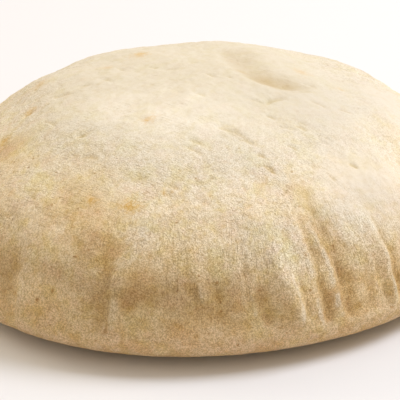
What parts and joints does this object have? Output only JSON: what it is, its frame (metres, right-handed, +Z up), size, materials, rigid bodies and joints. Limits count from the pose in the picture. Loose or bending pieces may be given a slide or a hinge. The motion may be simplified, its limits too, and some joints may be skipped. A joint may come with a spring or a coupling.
{
  "type": "pita bread",
  "caption": "Round puffed pita bread with a domed top, a smooth rolled rim, radial folds round the side and a shallow dent in the crown.",
  "frame": {"origin": "centre of the outline, on the surface that the bread rests on", "axes": "+Z up through the dome, -Y towards the front, +X to the right seen from the front"},
  "size_m": [0.1814, 0.1796, 0.0658],
  "materials": {
    "crust": null
  },
  "bodies": {
    "root": {"pita": "crust"}
  },
  "joints": []
}
